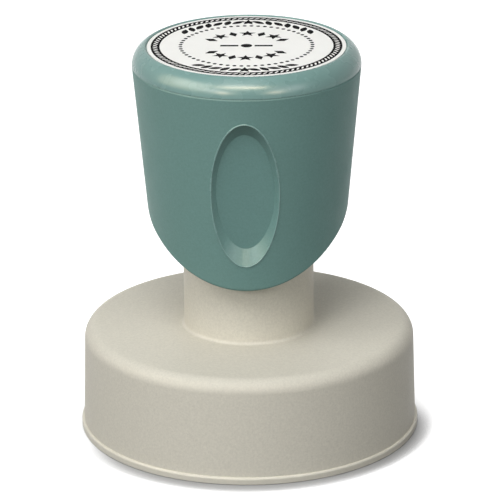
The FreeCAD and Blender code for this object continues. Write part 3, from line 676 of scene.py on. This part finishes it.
def cross_radius(turn, share=1):
    """Distance from a screw's axis to the edge of its cross recess, or to a share of it."""
    lean = abs((turn + math.pi / 4) % (math.pi / 2) - math.pi / 4)
    along = CROSS_REACH / math.cos(lean)
    across = CROSS_WIDTH / 2 / max(math.sin(lean), LEAST_SINE)
    return min(along, across) * share


def screw_crown(high):
    """Rounded upper edge of a screw's head, as (radius, level) pairs."""
    pairs = []
    for angle in CROWN_ANGLES:
        turn = math.radians(angle)
        pairs.append((SCREW_HEAD_RADIUS - SCREW_CROWN * (1 - math.cos(turn)),
                      high - SCREW_CROWN * (1 - math.sin(turn))))
    return pairs


def make_screw(bm, place, low, high):
    """Adds one pan-head screw to a bmesh, between two levels, and moves it to its place."""
    seat = high - SCREW_HEAD_HEIGHT
    root = SCREW_SHANK_RADIUS - THREAD_DEPTH
    floor = high - CROSS_DEPTH
    point = low + root * POINT_LENGTH
    profile = [(0, low), (root * POINT_RADIUS, low), (root, point), (root, seat),
               (SCREW_HEAD_RADIUS - SCREW_HEAD_BEVEL, seat),
               (SCREW_HEAD_RADIUS, seat + SCREW_HEAD_BEVEL)]
    profile += screw_crown(high)
    profile += [(cross_radius, high),
                (lambda turn: cross_radius(turn, CROSS_FLOOR), floor),
                (0, floor)]
    start = len(bm.verts)
    lathe(bm, profile, cross_turns())
    screw_thread(bm, point, seat)
    bm.verts.ensure_lookup_table()
    bmesh.ops.transform(bm, matrix=place, verts=bm.verts[start:])


def make_screws():
    """A ring of detailed screws in the place of each node of plain ones."""
    for node, (body, count, start) in SCREW_RINGS.items():
        low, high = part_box(node)
        angles = [math.radians(start) + turn for turn in even_turns(count)]
        pitch_radius = (high.x - SCREW_HEAD_RADIUS) / max(math.cos(angle) for angle in angles)
        bm = bmesh.new()
        for angle in angles:
            place = Matrix.Rotation(angle, 4, "Z") @ Matrix.Translation((pitch_radius, 0, 0))
            make_screw(bm, place, low.z, high.z)
        screws = mesh_object("cross_" + node, bm, smooth_angle=35)
        finish_piece(screws, body, "screw_steel")
        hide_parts(node)


def make_soft_rings():
    """Smooth rubber rings in the place of the plain ones."""
    for node in SOFT_RINGS:
        low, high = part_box(node)
        section = (high.z - low.z) / 2
        radius = (high.x - low.x) / 2 - section
        middle = UP * ((low.z + high.z) / 2)
        bm = bmesh.new()
        rings = []
        for turn in even_turns(RING_STEPS):
            outward = Vector((math.cos(turn), math.sin(turn), 0))
            centre = outward * radius + middle
            rings.append(section_ring(bm, centre, outward, UP, section, RING_SECTION_STEPS))
        skin(bm, rings, closed=True)
        ring = mesh_object("rubber_" + node, bm, smooth_angle=60)
        finish_piece(ring, "cartridge", "seal_rubber")
        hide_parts(node)


def spring_centre(turn, radius, low, high):
    """Point on the spring's centre line, counted in turns from its lower end."""
    active = SPRING_TURNS - 2 * SPRING_END_TURNS
    pitch = (high - low - 2 * SPRING_END_PITCH) / active
    if turn <= SPRING_END_TURNS:
        level = low + turn * SPRING_END_PITCH
    elif turn <= SPRING_TURNS - SPRING_END_TURNS:
        level = low + SPRING_END_PITCH + (turn - SPRING_END_TURNS) * pitch
    else:
        level = high - (SPRING_TURNS - turn) * SPRING_END_PITCH
    angle = 2 * math.pi * turn
    return Vector((radius * math.cos(angle), radius * math.sin(angle), level))


def make_spring():
    """Round steel wire in the shape of the spring's solid."""
    box_low, box_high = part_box("return_spring")
    wire = SPRING_WIRE / 2
    radius = (box_high.x - box_low.x) / 2 - wire
    low = box_low.z + wire
    high = box_high.z - wire
    bm = bmesh.new()
    rings = []
    for step in range(SPRING_TURNS * SPRING_STEPS_PER_TURN + 1):
        centre = spring_centre(step / SPRING_STEPS_PER_TURN, radius, low, high)
        outward = Vector((centre.x, centre.y, 0)).normalized()
        rings.append(section_ring(bm, centre, outward, UP, wire, SPRING_SECTION_STEPS))
    skin(bm, rings)
    spring = mesh_object("coil_spring", bm, smooth_angle=50)
    finish_piece(spring, "cartridge", "spring_steel")
    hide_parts("return_spring")
    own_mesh(spring)


# Pieces that the solids don't have

def handle_radius(tree, level):
    """Radius of the handle's outside at a level, measured beside its front recess."""
    point = tree.ray_cast(Vector((GAUGE_ACROSS, -GAUGE_START, level)), Vector((0, 1, 0)))[0]
    return math.hypot(point.x, point.y)


def recess_edge(tree, side):
    """Points on the handle, round the edge of the front recess (side -1) or the rear one (1)."""
    points = []
    for turn in even_turns(BEAD_STEPS):
        across = RECESS_HALF_WIDTH * math.cos(turn)
        level = RECESS_LEVEL + RECESS_HALF_HEIGHT * math.sin(turn)
        radius = handle_radius(tree, level)
        points.append(Vector((across, side * math.sqrt(radius ** 2 - across ** 2), level)))
    return points


def make_recess_beads():
    """Fine raised line round the edge of both recesses in the handle, in a lighter green that adds
    a painted highlight.
    """
    tree = BVHTree.FromObject(nodes["handle_shell"], bpy.context.evaluated_depsgraph_get())
    bm = bmesh.new()
    for side in (-1, 1):
        points = recess_edge(tree, side)
        rings = []
        for number, point in enumerate(points):
            along = (points[(number + 1) % BEAD_STEPS] - points[number - 1]).normalized()
            outward = Vector((point.x, point.y, 0)).normalized()
            across = along.cross(outward).normalized()
            rings.append(section_ring(bm, point, outward, across, BEAD_RADIUS, BEAD_SECTION_STEPS))
        skin(bm, rings, closed=True)
    beads = mesh_object("recess_edge_beads", bm, smooth_angle=80)
    # The lighter cap green gives the line a painted highlight along the edge
    finish_piece(beads, "handle", "green_gloss")


# Stage, lamps and camera

def light_path_mix(tree, seen, lit):
    """Shader that shows one thing to the camera and in reflections, and lights with another."""
    path = add_node(tree, "ShaderNodeLightPath")
    direct = path.outputs["Is Camera Ray"]
    for kind in ("Is Glossy Ray", "Is Transmission Ray"):
        either = add_node(tree, "ShaderNodeMath", operation="MAXIMUM")
        tree.links.new(direct, either.inputs[0])
        tree.links.new(path.outputs[kind], either.inputs[1])
        direct = either.outputs[0]
    mix = add_node(tree, "ShaderNodeMixShader")
    tree.links.new(direct, mix.inputs["Fac"])
    tree.links.new(lit, mix.inputs[1])
    tree.links.new(seen, mix.inputs[2])
    return mix.outputs[0]


def make_world():
    """Weak even fill light, seen as plain white."""
    world = bpy.data.worlds.new("studio")
    bpy.context.scene.world = world
    tree = bare_tree(world)
    output = add_node(tree, "ShaderNodeOutputWorld")
    white = (1, 1, 1, 1)
    seen = add_node(tree, "ShaderNodeBackground", {"Color": white, "Strength": 1.0})
    lit = add_node(tree, "ShaderNodeBackground", {"Color": white, "Strength": WORLD_FILL})
    mix = light_path_mix(tree, seen.outputs[0], lit.outputs[0])
    tree.links.new(mix, output.inputs["Surface"])


def painted_contact_shadow(tree):
    """Painted shadow: brightness of the table's glow that falls close to the stamp, and most on the
    shadow's side.
    """
    near = add_node(tree, "ShaderNodeAmbientOcclusion", {"Distance": PAINTED_SHADOW_DISTANCE},
                    samples=SHADOW_SAMPLES)
    place = add_node(tree, "ShaderNodeTexCoord")
    side = add_node(tree, "ShaderNodeVectorMath", operation="DOT_PRODUCT")
    side.inputs[1].default_value = [value / SHADOW_REACH for value in SHADOW_SIDE]
    weakest, strongest = SHADOW_POWERS
    power = add_node(tree, "ShaderNodeMapRange",
                     {"From Max": SHADOW_FULL, "To Min": weakest, "To Max": strongest},
                     interpolation_type="SMOOTHSTEP")
    depth = add_node(tree, "ShaderNodeMath", operation="POWER")
    tree.links.new(place.outputs["Object"], side.inputs[0])
    tree.links.new(side.outputs["Value"], power.inputs["Value"])
    tree.links.new(near.outputs["AO"], depth.inputs[0])
    tree.links.new(power.outputs["Result"], depth.inputs[1])
    return depth.outputs[0]


def make_floor():
    """White table top that keeps the stamp's shadow, with a painted shadow in its glow at the
    stamp's foot, and sends little light back up.
    """
    bm = bmesh.new()
    bmesh.ops.create_circle(bm, cap_ends=True, segments=FLOOR_CORNERS, radius=FLOOR_RADIUS)
    floor = mesh_object("floor", bm)
    floor.location.z = -FLOOR_DROP
    mat = bpy.data.materials.new("floor_look")
    tree = bare_tree(mat)
    output = add_node(tree, "ShaderNodeOutputMaterial")
    paper, bounce = (add_node(tree, "ShaderNodeBsdfDiffuse", {"Color": (grey, grey, grey, 1)})
                     for grey in (FLOOR_SEEN, FLOOR_BOUNCE))
    glow = add_node(tree, "ShaderNodeEmission")
    bright = add_node(tree, "ShaderNodeAddShader")
    # Painted shadow: the glow dims close to the stamp
    tree.links.new(painted_contact_shadow(tree), glow.inputs["Strength"])
    tree.links.new(paper.outputs[0], bright.inputs[0])
    tree.links.new(glow.outputs[0], bright.inputs[1])
    mix = light_path_mix(tree, bright.outputs[0], bounce.outputs[0])
    tree.links.new(mix, output.inputs["Surface"])
    floor.data.materials.append(mat)


def direction(azimuth, elevation):
    """Direction from the stamp, in degrees from the front towards the right and upwards."""
    turn = math.radians(azimuth)
    rise = math.radians(elevation)
    return Vector((math.sin(turn) * math.cos(rise),
                   -math.cos(turn) * math.cos(rise),
                   math.sin(rise)))


def area_lamp(name, azimuth, elevation, size, power, matte=True, gloss=True):
    """Soft box that points at the stamp, and lights matte surfaces, shows in gloss, or both."""
    lamp = bpy.data.lights.new(name, "AREA")
    lamp.shape = "RECTANGLE"
    lamp.size, lamp.size_y = size
    lamp.energy = power
    if not matte:
        lamp.color = GLINT_COLOUR
    obj = bpy.data.objects.new(name, lamp)
    bpy.context.scene.collection.objects.link(obj)
    towards = direction(azimuth, elevation)
    obj.location = UP * LAMP_AIM + towards * LAMP_DISTANCE
    obj.rotation_mode = "QUATERNION"
    obj.rotation_quaternion = towards.to_track_quat("Z", "Y")
    obj.visible_diffuse = matte
    obj.visible_glossy = gloss


def make_lamps():
    """Soft boxes mostly from the front left, weaker ones elsewhere, and some for gloss alone."""
    for lamp in LAMPS:
        area_lamp(*lamp)
    area_lamp(*MATTE_LAMP, gloss=False)
    for lamp in GLINTS:
        area_lamp(*lamp, matte=False)


def make_camera():
    """Long lens from the photograph's place."""
    azimuth = math.radians(CAMERA_AZIMUTH)
    roll = math.radians(CAMERA_ROLL)
    level = Vector((math.cos(azimuth), math.sin(azimuth), 0))
    back = direction(CAMERA_AZIMUTH, CAMERA_ELEVATION)
    rise = back.cross(level)
    right = level * math.cos(roll) + rise * math.sin(roll)
    up = rise * math.cos(roll) - level * math.sin(roll)
    aim = level * AIM_RIGHT + UP * AIM_LEVEL
    camera = bpy.data.cameras.new("camera")
    camera.sensor_width = SENSOR_WIDTH
    camera.lens = CAMERA_LENS
    obj = bpy.data.objects.new("camera", camera)
    bpy.context.scene.collection.objects.link(obj)
    turn = Matrix((right, up, back)).transposed().to_4x4()
    obj.matrix_world = Matrix.Translation(aim + back * CAMERA_DISTANCE) @ turn
    bpy.context.scene.camera = obj


print_label()
make_printing_face()
make_screws()
make_soft_rings()
make_recess_beads()
make_spring()
make_world()
make_floor()
make_lamps()
make_camera()
bpy.context.scene.view_settings.view_transform = "Standard"

bpy.context.view_layer.update()
